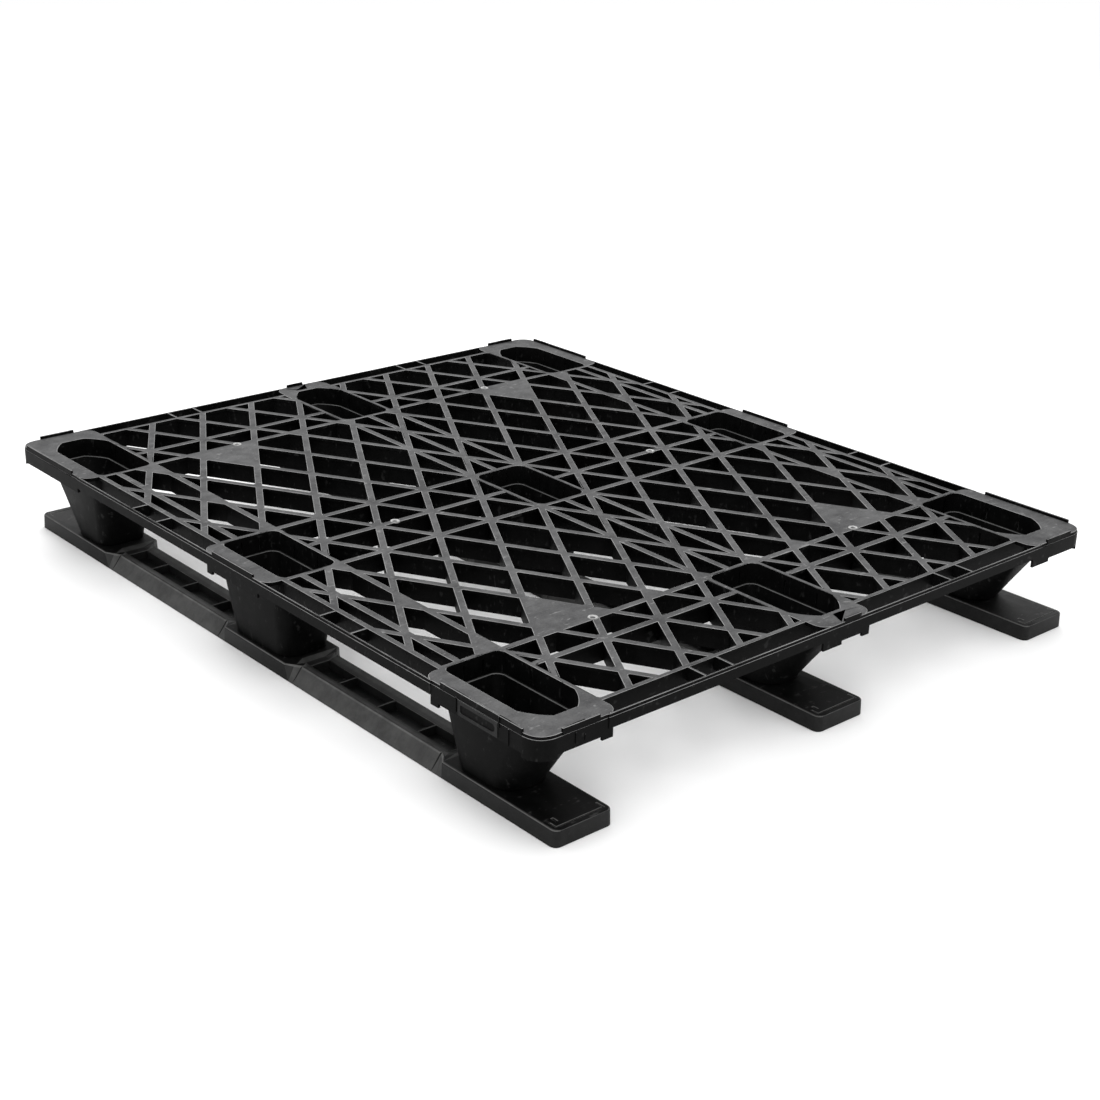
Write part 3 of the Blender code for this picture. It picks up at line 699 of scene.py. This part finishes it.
def bevel(item):
    """Round the edges that mark_upper_edges has weighted."""
    modifier = item.modifiers.new('rounding', 'BEVEL')
    modifier.width = EDGE_ROUNDING
    modifier.segments = EDGE_SEGMENTS
    modifier.limit_method = 'WEIGHT'
    modifier.use_clamp_overlap = False
    modifier.harden_normals = True


def smooth(item, angle=30):
    """Shade smooth, but for edges sharper than the angle in degrees."""
    item.data.shade_smooth()
    item.data.set_sharp_from_angle(angle=math.radians(angle))


def subtract(item, solid, name):
    """Cut a solid out of an item. Bodies within one solid may not overlap."""
    cutter = new_object(item.name + '_' + name, solid)
    modifier = item.modifiers.new(name, 'BOOLEAN')
    modifier.operation = 'DIFFERENCE'
    modifier.solver = 'EXACT'
    modifier.object = cutter
    depsgraph = bpy.context.evaluated_depsgraph_get()
    result = bpy.data.meshes.new_from_object(item.evaluated_get(depsgraph))
    item.modifiers.clear()
    item.data = result
    bpy.data.objects.remove(cutter, do_unlink=True)


# ---------------------------------------------------------------- deck and feet

def foot_shell(solid, foot):
    """A tapering cup: rounded at its base and floor, with a rounded ledge at the top."""
    collar_low = DECK_TOP - COLLAR_DEPTH
    ledge = DECK_TOP - LEDGE_DEPTH
    floor = foot.bottom + FOOT_FLOOR
    outer = [(foot.base(-FOOT_ROUND), foot.bottom),
             (foot.base(-FOOT_ROUND_MIDDLE), foot.bottom + FOOT_ROUND_MIDDLE),
             (foot.base(), foot.bottom + FOOT_ROUND),
             (foot.shoulder(FOOT_WALL), collar_low),
             (foot.shoulder(FOOT_WALL), ledge)]
    rounded_ledge = [(foot.pocket(-LEDGE_WIDTH + LEDGE_ROUND * back), ledge - LEDGE_ROUND * down)
                     for back, down in QUARTER_ROUND]
    inner = [(foot.base(-FOOT_WALL), floor + FLOOR_ROUND),
             (foot.base(-FOOT_WALL - FOOT_ROUND), floor + FOOT_ROUND),
             (foot.base(-FOOT_WALL - FLOOR_ROUND), floor)]
    loft(solid, outer + rounded_ledge + inner)


def label_frame(solid):
    """A blank raised frame on the skirt of each long side. Its window is round at one end."""
    outer = cut_rectangle(*LABEL_Y, *LABEL_Z, [round_cut(LABEL_ROUND)] * 4)
    window_y = (LABEL_Y[0] + LABEL_BORDER, LABEL_Y[1] - LABEL_BORDER)
    window_z = (LABEL_Z[0] + LABEL_BORDER, LABEL_Z[1] - LABEL_BORDER)
    round_end = round_cut((window_z[1] - window_z[0]) / 2 * WINDOW_END_SHARE)
    square_end = round_cut(WINDOW_ROUND)
    window = cut_rectangle(*window_y, *window_z, [round_end, square_end, square_end, round_end])
    # The frame's faces take the deck's second material, whose paler sides are a painted highlight.
    for turn in SIDES:
        rings = []
        for outline, depth in ((outer, LABEL_THICKNESS), (outer, 0), (window, 0), (window, LABEL_THICKNESS)):
            rings.append([solid.verts.new((-turn * (-HALF_X + depth), -turn * p.x, DECK_TOP + p.y))
                          for p in outline])
        for near, far in zip(rings, rings[1:] + rings[:1]):
            for i in range(len(near)):
                j = (i + 1) % len(near)
                face = solid.faces.new((near[i], near[j], far[j], far[i]))
                face.material_index = 1


def build_deck(material, label_material):
    """The whole deck moulding: grid, plates and skirts, the nine feet and the label frames."""
    slits = [(outline, DECK_TOP - SLIT_TOP) for foot in FEET for outline in foot.slits()]
    voids = [foot.pocket() for foot in FEET]
    voids += [mirrored(rectangle(*PLATE_SLIT), turn, turn) for turn in SIDES]
    solid = terraced_solid(deck_regions(), voids, slits)
    for foot in FEET:
        foot_shell(solid, foot)
        for centre in foot.screws:
            boss = circle(centre, BOSS_RADIUS)
            loft(solid, [(boss, foot.bottom + FOOT_FLOOR / 2), (boss, foot.bottom + BOSS_HEIGHT)])
    label_frame(solid)
    mark_upper_edges(solid)
    deck = new_object('deck_visual', solid, material)
    deck.data.materials.append(label_material)
    smooth(deck)
    bevel(deck)
    return deck


# ---------------------------------------------------------------- runners

def pad_section(half, top):
    """Half of a pad's section, from the bottom edge up and in to the middle, as (x, z)."""
    centre_x, centre_z = half - PAD_DRAFT - PAD_EDGE, top - PAD_EDGE
    edge = []
    for i in range(PAD_EDGE_STEPS + 1):
        angle = math.radians(90 * i / PAD_EDGE_STEPS)
        edge.append((centre_x + PAD_EDGE * math.cos(angle), centre_z + PAD_EDGE * math.sin(angle)))
    return [(half, 0.0)] + edge + [(VALLEY_HALF, top)]


def span_section(half):
    """Half of a span's section: the flank, the rounded ridge and the valley's edge."""
    ridge = [(RIDGE_HALF + dx, RIDGE_Z + dz) for dx, dz in RIDGE_ROUND]
    return [(half, 0.0)] + ridge + [(VALLEY_HALF, VALLEY_Z)]


def blended(a, b, t):
    """The section a share t of the way from a to b."""
    return [(x0 + (x1 - x0) * t, z0 + (z1 - z0) * t) for (x0, z0), (x1, z1) in zip(a, b)]


def grooved(section, depth):
    """The section drawn in a little, for the bottom of a seam round it."""
    return [(x - depth if z > 0 else x, z - depth if z > 0 else z) for x, z in section]


def runner_stations(half, length_half, top):
    """(y, half section) along the front half of a runner, from its middle to its end."""
    pad, span = pad_section(half, top), span_section(half)
    ramp = blended(pad, span, RAMP_SHARE)
    stations = [(0.0, pad), (PAD_Y[0], pad), ((PAD_Y[0] + SPAN_Y[0]) / 2, ramp)]
    for seam in SPAN_Y:
        stations += [(seam - SEAM_HALF, span), (seam, grooved(span, SEAM_DEPTH)), (seam + SEAM_HALF, span)]
    stations += [((SPAN_Y[1] + PAD_Y[1]) / 2, ramp), (PAD_Y[1], pad)]
    for i in range(RUNNER_CORNER_STEPS + 1):
        angle = math.radians(90 * i / RUNNER_CORNER_STEPS)
        narrower = RUNNER_CORNER_RADIUS * (1 - math.cos(angle))
        y = length_half - RUNNER_CORNER_RADIUS * (1 - math.sin(angle))
        stations.append((y, [(x - narrower if x > VALLEY_HALF else x, z) for x, z in pad]))
    return stations


def runner_body(centre_x, half, length_half, top):
    """The outside of a runner, from one end to the other."""
    front = runner_stations(half, length_half, top)
    solid = bmesh.new()
    rings = []
    for y, section in [(-y, section) for y, section in reversed(front[1:])] + front:
        full = [(-x, z) for x, z in section] + [(x, z) for x, z in reversed(section)]
        rings.append([solid.verts.new((centre_x + x, y, z)) for x, z in full])
    skin(solid, rings)
    return solid


def cell_cutters(centre_x, half, top):
    """The open cells along both spans, and the counterbores and clearance holes of the screws."""
    solid = bmesh.new()
    bounds = (SPAN_Y[0], *CROSS_RIB_Y, SPAN_Y[1])
    for side in SIDES:
        for start, end in zip(bounds, bounds[1:]):
            cell_y = sorted((side * (start + CELL_WALL / 2), side * (end - CELL_WALL / 2)))
            outline = rectangle(centre_x - CELL_HALF, centre_x + CELL_HALF, *cell_y)
            loft(solid, [(outline, CELL_FLOOR), (outline, top + CELL_FLOOR)])
    for foot in FEET:
        if abs(foot.centre_x - centre_x) > half:
            continue
        for centre in foot.screws:
            bore, hole = circle(centre, COUNTERBORE_RADIUS), circle(centre, CLEARANCE_RADIUS)
            loft(solid, [(bore, -COUNTERBORE_DEPTH), (bore, COUNTERBORE_DEPTH),
                         (hole, COUNTERBORE_DEPTH), (hole, top + COUNTERBORE_DEPTH)])
    return solid


def pad_grooves(half, length_half):
    """Outlines of the end pads' shallow grooves, on a runner centred on the Y axis: a border
    that turns back at both ends, two lines beside the foot, and a slot near one outer corner."""
    border_x, border_y = half - PAD_BORDER, length_half - PAD_BORDER
    line_x, line_end = FOOT_HALF_X + PAD_BORDER, border_y - LINE_END
    slot_x, slot_y = half - SLOT_BORDER, length_half - SLOT_BORDER
    border = [Vector((border_x, border_y - PAD_RETURN)), Vector((border_x, border_y)),
              Vector((-border_x, border_y)), Vector((-border_x, border_y - PAD_RETURN))]
    grooves = [band(border, PAD_GROOVE_WIDTH)]
    for turn in SIDES:
        start, end = (turn * line_x, PAD_Y[1] + PAD_BORDER), (turn * line_x, line_end)
        grooves.append(strip(start, end, PAD_GROOVE_WIDTH))
    grooves.append(strip((slot_x, slot_y - PAD_BORDER), (slot_x, slot_y), 2 * PAD_GROOVE_WIDTH))
    return [mirrored(groove, turn, turn) for turn in SIDES for groove in grooves]


def groove_cutters(centre_x, half, length_half, top):
    solid = bmesh.new()
    for groove in pad_grooves(half, length_half):
        outline = [point + Vector((centre_x, 0)) for point in groove]
        loft(solid, [(outline, top - PAD_GROOVE_DEPTH), (outline, top + PAD_GROOVE_DEPTH)])
    return solid


def build_runner(column, material):
    """One runner, round the box of its CAD node."""
    name = 'runner_' + COLUMNS[column + 1]
    low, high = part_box(name)
    centre_x = (low.x + high.x) / 2
    half, length_half, top = (high.x - low.x) / 2, high.y, high.z
    runner = new_object(name + '_visual', runner_body(centre_x, half, length_half, top), material)
    subtract(runner, cell_cutters(centre_x, half, top), 'cells')
    subtract(runner, groove_cutters(centre_x, half, length_half, top), 'grooves')
    solid = bmesh.new()
    solid.from_mesh(runner.data)
    mark_upper_edges(solid)
    solid.to_mesh(runner.data)
    solid.free()
    smooth(runner)
    bevel(runner)
    return runner


# ---------------------------------------------------------------- injection gates

def build_gates(ring_material, middle_material):
    """A small raised ring with a sunk middle, off its centre, at each injection gate of the deck."""
    solid = bmesh.new()
    for x in (-GATE_X, GATE_X):
        for y in (-END_RIB_Y, 0.0, END_RIB_Y):
            gate = Vector((x, y))
            sections = [(circle(gate, GATE_RADIUS), DECK_TOP - GATE_ROOT)]
            for share, rise in GATE_PROFILE:
                centre = gate + (1 - share) * GATE_OFFSET
                sections.append((circle(centre, GATE_RADIUS * share), DECK_TOP + rise))
            loft(solid, sections)
    for face in solid.faces:
        is_middle = len(face.verts) == CIRCLE_STEPS and face.calc_center_median().z > DECK_TOP
        face.material_index = 1 if is_middle else 0
    gates = new_object('gate_marks', solid, ring_material)
    gates.data.materials.append(middle_material)
    smooth(gates, angle=60)
    return gates


# ---------------------------------------------------------------- materials

def grey(shade):
    return (shade, shade, shade)


class Graph:
    """A material's node tree, with short ways to add the nodes used here."""

    def __init__(self, name):
        self.material = bpy.data.materials.new(name)
        self.material.use_nodes = True
        self.nodes = self.material.node_tree.nodes
        self.links = self.material.node_tree.links
        self.shader = self.nodes['Principled BSDF']
        self.place = self.nodes.new('ShaderNodeTexCoord').outputs['Object']

    def link(self, source, target):
        self.links.new(source, target)

    def scaled(self, scale):
        """The place, scaled along each axis."""
        mapping = self.nodes.new('ShaderNodeMapping')
        mapping.inputs['Scale'].default_value = scale
        self.link(self.place, mapping.inputs['Vector'])
        return mapping.outputs['Vector']

    def noise(self, scale, detail, roughness, vector=None, distortion=0.0):
        node = self.nodes.new('ShaderNodeTexNoise')
        node.inputs['Scale'].default_value = scale
        node.inputs['Detail'].default_value = detail
        node.inputs['Roughness'].default_value = roughness
        node.inputs['Distortion'].default_value = distortion
        self.link(vector or self.place, node.inputs['Vector'])
        return node.outputs['Fac']

    def spread(self, value, low, high, to_low=0.0, to_high=1.0):
        """The value's range from low to high, spread over to_low to to_high and held there beyond."""
        node = self.nodes.new('ShaderNodeMapRange')
        node.inputs['From Min'].default_value = low
        node.inputs['From Max'].default_value = high
        node.inputs['To Min'].default_value = to_low
        node.inputs['To Max'].default_value = to_high
        self.link(value, node.inputs['Value'])
        return node.outputs['Result']

    def math(self, operation, a, b):
        """An operation on a and b, each a number or another node's output."""
        node = self.nodes.new('ShaderNodeMath')
        node.operation = operation
        for socket, value in zip(node.inputs, (a, b)):
            if isinstance(value, (int, float)):
                socket.default_value = value
            else:
                self.link(value, socket)
        return node.outputs['Value']

    def mix(self, factor, a, b):
        """A colour between a and b, each a colour or another node's output."""
        node = self.nodes.new('ShaderNodeMix')
        node.data_type = 'RGBA'
        self.link(factor, node.inputs['Factor'])
        for socket, value in ((node.inputs[6], a), (node.inputs[7], b)):
            if isinstance(value, tuple):
                socket.default_value = (*value, 1.0)
            else:
                self.link(value, socket)
        return node.outputs[2]

    def bump(self, height, distance, strength, under=None):
        node = self.nodes.new('ShaderNodeBump')
        node.inputs['Distance'].default_value = distance
        node.inputs['Strength'].default_value = strength
        self.link(height, node.inputs['Height'])
        if under:
            self.link(under, node.inputs['Normal'])
        return node.outputs['Normal']

    def geometry(self, output):
        """An output of the Geometry node."""
        return self.nodes.new('ShaderNodeNewGeometry').outputs[output]

    def axis_z(self, vector):
        """The Z part of a vector."""
        split = self.nodes.new('ShaderNodeSeparateXYZ')
        self.link(vector, split.inputs['Vector'])
        return split.outputs['Z']


def recycled_plastic(name, side, top, wear_and_highlight, top_from, edge_from, wear_and_light_slope, flow, sheen):
    """Black recycled polyolefin: cloudy colour, flow streaks, fine grain and scuffs. The level tops
    above top_from take the top colours and other faces the side colours, as painted light and shade:
    paler tops are partly dust and partly painted light, darker tops painted shade. Paler too where a
    face leans back by the slope given or more: on gentle slopes, and twice as much so along rounded
    edges above edge_from, partly edge wear and partly painted highlight and painted light."""
    graph = Graph(name)
    clouds = graph.noise(scale=7, detail=5, roughness=0.6)
    mottle = graph.noise(scale=55, detail=6, roughness=0.65)
    streaks = graph.noise(scale=10, detail=5, roughness=0.6, vector=graph.scaled(flow), distortion=0.6)
    speckle = graph.noise(scale=420, detail=3, roughness=0.7)
    grain = graph.noise(scale=850, detail=3, roughness=0.6)
    tone = graph.math('ADD', graph.math('MULTIPLY', clouds, 0.4), graph.math('MULTIPLY', mottle, 0.35))
    tone = graph.math('ADD', tone, graph.math('MULTIPLY', streaks, 0.25))
    speckled = graph.math('ADD', tone, graph.math('MULTIPLY', speckle, 0.22))
    tone_share = graph.spread(speckled, 0.50, 0.72)

    # Level tops against other faces: lit and shaded copies of one plastic, painted light and shade, with
    # dust on the deck's tops
    upward = graph.axis_z(graph.geometry('True Normal'))
    height = graph.axis_z(graph.place)
    high = graph.spread(height, top_from - 0.001, top_from)
    level = graph.math('MULTIPLY', graph.spread(upward, 0.90, 0.98), high)
    colour = graph.mix(level, graph.mix(tone_share, *side), graph.mix(tone_share, *top))

    scratches = graph.noise(scale=16, detail=3, roughness=0.6,
                            vector=graph.scaled((1.0, 7.0, 1.0)), distortion=2.5)
    patches = graph.noise(scale=120, detail=2, roughness=0.5)
    scuffs = graph.spread(graph.math('MULTIPLY', scratches, patches), 0.34, 0.42)
    scuffs = graph.math('MULTIPLY', scuffs, graph.spread(level, 0.0, 1.0, 0.04, 0.3))
    # Paler on gentle slopes and rounded edges, most above edge_from: partly edge wear, partly painted
    # highlight and painted light
    rounded = graph.math('MULTIPLY', graph.spread(upward, wear_and_light_slope, wear_and_light_slope + 0.17),
                         graph.spread(upward, 0.985, 0.93))
    rub_and_glint = graph.spread(graph.noise(scale=38, detail=4, roughness=0.7), 0.35, 0.65, 0.55, 1.0)
    rub_and_glint = graph.math('MULTIPLY', rub_and_glint, graph.spread(height, edge_from - 0.001, edge_from, 0.5, 1.0))
    wear_and_highlight_mask = graph.math('MAXIMUM', scuffs, graph.math('MULTIPLY', rounded, rub_and_glint))
    graph.link(graph.mix(wear_and_highlight_mask, colour, wear_and_highlight), graph.shader.inputs['Base Color'])

    rough = graph.spread(tone, 0.35, 0.65, 0.43, 0.59)
    rough = graph.math('ADD', rough, graph.math('MULTIPLY', scuffs, 0.2))
    graph.link(rough, graph.shader.inputs['Roughness'])
    graph.shader.inputs['Specular IOR Level'].default_value = sheen

    normal = graph.bump(mottle, distance=0.0004, strength=0.25)
    normal = graph.bump(grain, distance=0.00012, strength=0.35, under=normal)
    graph.link(normal, graph.shader.inputs['Normal'])
    return graph.material


def gate_plastic():
    """The pale, crazed plastic of the ring round a gate."""
    graph = Graph('gate_plastic')
    speckle = graph.noise(scale=700, detail=4, roughness=0.7)
    colour = graph.mix(graph.spread(speckle, 0.35, 0.65), grey(0.13), (0.46, 0.46, 0.45))
    graph.link(colour, graph.shader.inputs['Base Color'])
    graph.link(graph.spread(speckle, 0.3, 0.7, 0.28, 0.5), graph.shader.inputs['Roughness'])
    normal = graph.bump(speckle, distance=0.0002, strength=0.5)
    graph.link(normal, graph.shader.inputs['Normal'])
    return graph.material


def plated_steel():
    """Zinc-plated steel: bright, faintly brushed, with a little dull tarnish."""
    graph = Graph('plated_steel')
    tarnish = graph.noise(scale=240, detail=5, roughness=0.65)
    brushed = graph.noise(scale=900, detail=2, roughness=0.5, vector=graph.scaled((1.0, 1.0, 0.12)))
    colour = graph.mix(graph.spread(tarnish, 0.35, 0.7), (0.56, 0.57, 0.58), (0.34, 0.33, 0.30))
    graph.link(colour, graph.shader.inputs['Base Color'])
    graph.link(graph.spread(tarnish, 0.3, 0.7, 0.24, 0.46), graph.shader.inputs['Roughness'])
    normal = graph.bump(brushed, distance=0.00005, strength=0.5)
    graph.link(normal, graph.shader.inputs['Normal'])
    graph.shader.inputs['Metallic'].default_value = 1.0
    return graph.material


def floor_material():
    """A matt, nearly white floor."""
    graph = Graph('studio_floor')
    colour = graph.mix(graph.noise(scale=1.5, detail=3, roughness=0.5), grey(0.95), grey(0.97))
    graph.link(colour, graph.shader.inputs['Base Color'])
    graph.shader.inputs['Roughness'].default_value = 0.9
    graph.shader.inputs['Specular IOR Level'].default_value = 0.1
    return graph.material


# ---------------------------------------------------------------- studio

def build_floor():
    """A large pale floor, just under the runners."""
    solid = bmesh.new()
    corners = rectangle(-FLOOR_REACH, FLOOR_REACH, -FLOOR_REACH, FLOOR_REACH)
    solid.faces.new([solid.verts.new((corner.x, corner.y, -FLOOR_DROP)) for corner in corners])
    new_object('studio_floor', solid, floor_material())


def area_light(name, place, width, height, power):
    """A soft light that faces the middle of the pallet's base."""
    light = bpy.data.lights.new(name, 'AREA')
    light.shape = 'RECTANGLE'
    light.size, light.size_y = width, height
    light.energy = power
    item = bpy.data.objects.new(name, light)
    item.location = place
    item.rotation_euler = (-Vector(place)).to_track_quat('-Z', 'Y').to_euler()
    bpy.context.scene.collection.objects.link(item)


def build_lights():
    """An even white sky and two large soft lights."""
    world = bpy.data.worlds.new('studio')
    world.use_nodes = True
    background = world.node_tree.nodes['Background']
    background.inputs['Color'].default_value = (1.0, 1.0, 1.0, 1.0)
    background.inputs['Strength'].default_value = SKY_STRENGTH
    bpy.context.scene.world = world
    bpy.context.scene.view_settings.view_transform = 'Standard'
    area_light('key', place=(1.6, 2.4, 3.0), width=4.0, height=3.0, power=90)
    area_light('overhead', place=(-0.7, -0.8, 3.4), width=3.0, height=3.0, power=45)


def build_camera():
    camera = bpy.data.cameras.new('camera')
    camera.lens = CAMERA_LENS
    camera.sensor_width = CAMERA_SENSOR
    camera.clip_end = CAMERA_REACH
    item = bpy.data.objects.new('camera', camera)
    right = CAMERA_FORWARD.cross(CAMERA_UP).normalized()
    turn = Matrix((right, CAMERA_UP.normalized(), -CAMERA_FORWARD.normalized())).transposed()
    item.matrix_world = Matrix.Translation(CAMERA_PLACE) @ turn.to_4x4()
    bpy.context.scene.collection.objects.link(item)
    bpy.context.scene.camera = item


# ---------------------------------------------------------------- assembly

# The deck's paler level tops are partly dust and partly painted light, its near-black sides painted shade,
# and its pale edges partly edge wear and partly painted highlight.
crown = DECK_TOP - CROWN_BAND
deck_look = {"top": ((0.038, 0.038, 0.039), (0.104, 0.104, 0.105)), "wear_and_highlight": (0.34, 0.34, 0.338),
             "top_from": crown, "edge_from": crown, "wear_and_light_slope": 0.58,
             "flow": (1.0, 5.0, 1.0), "sheen": 0.04}
deck_plastic = recycled_plastic('deck_plastic_dust_wear_painted_light', side=(grey(0.001), grey(0.004)), **deck_look)
# The label frame's paler side colours are a painted highlight.
label_plastic_painted_highlight = recycled_plastic('label_plastic_painted_highlight', side=(grey(0.011), grey(0.026)), **deck_look)
# The runners' near-black level tops are painted shade from the deck above; the pale colour on the flanks and
# pad edges is painted light and painted highlight, partly edge wear.
runner_plastic = recycled_plastic(
    'runner_plastic_wear_painted_light', side=(grey(0.006), grey(0.016)), top=(grey(0.001), grey(0.005)),
    wear_and_highlight=(0.115, 0.115, 0.113), top_from=0.0, edge_from=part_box("runner_middle")[1].z - PAD_EDGE,
    wear_and_light_slope=0.30, flow=(6.0, 1.0, 1.0), sheen=0.12)

deck = build_deck(deck_plastic, label_plastic_painted_highlight)
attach(deck, ROOT)
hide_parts("deck", *["foot_" + foot.name for foot in FEET])

for column in (-1, 0, 1):
    runner = build_runner(column, runner_plastic)
    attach(runner, ROOT)
    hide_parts("runner_" + COLUMNS[column + 1])

gates = build_gates(gate_plastic(), deck_plastic)
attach(gates, ROOT)

steel = plated_steel()
for node_name, node in frame["nodes"].items():
    if node_name.startswith("screw_"):
        node.data.materials.clear()
        node.data.materials.append(steel)

build_floor()
build_lights()
build_camera()
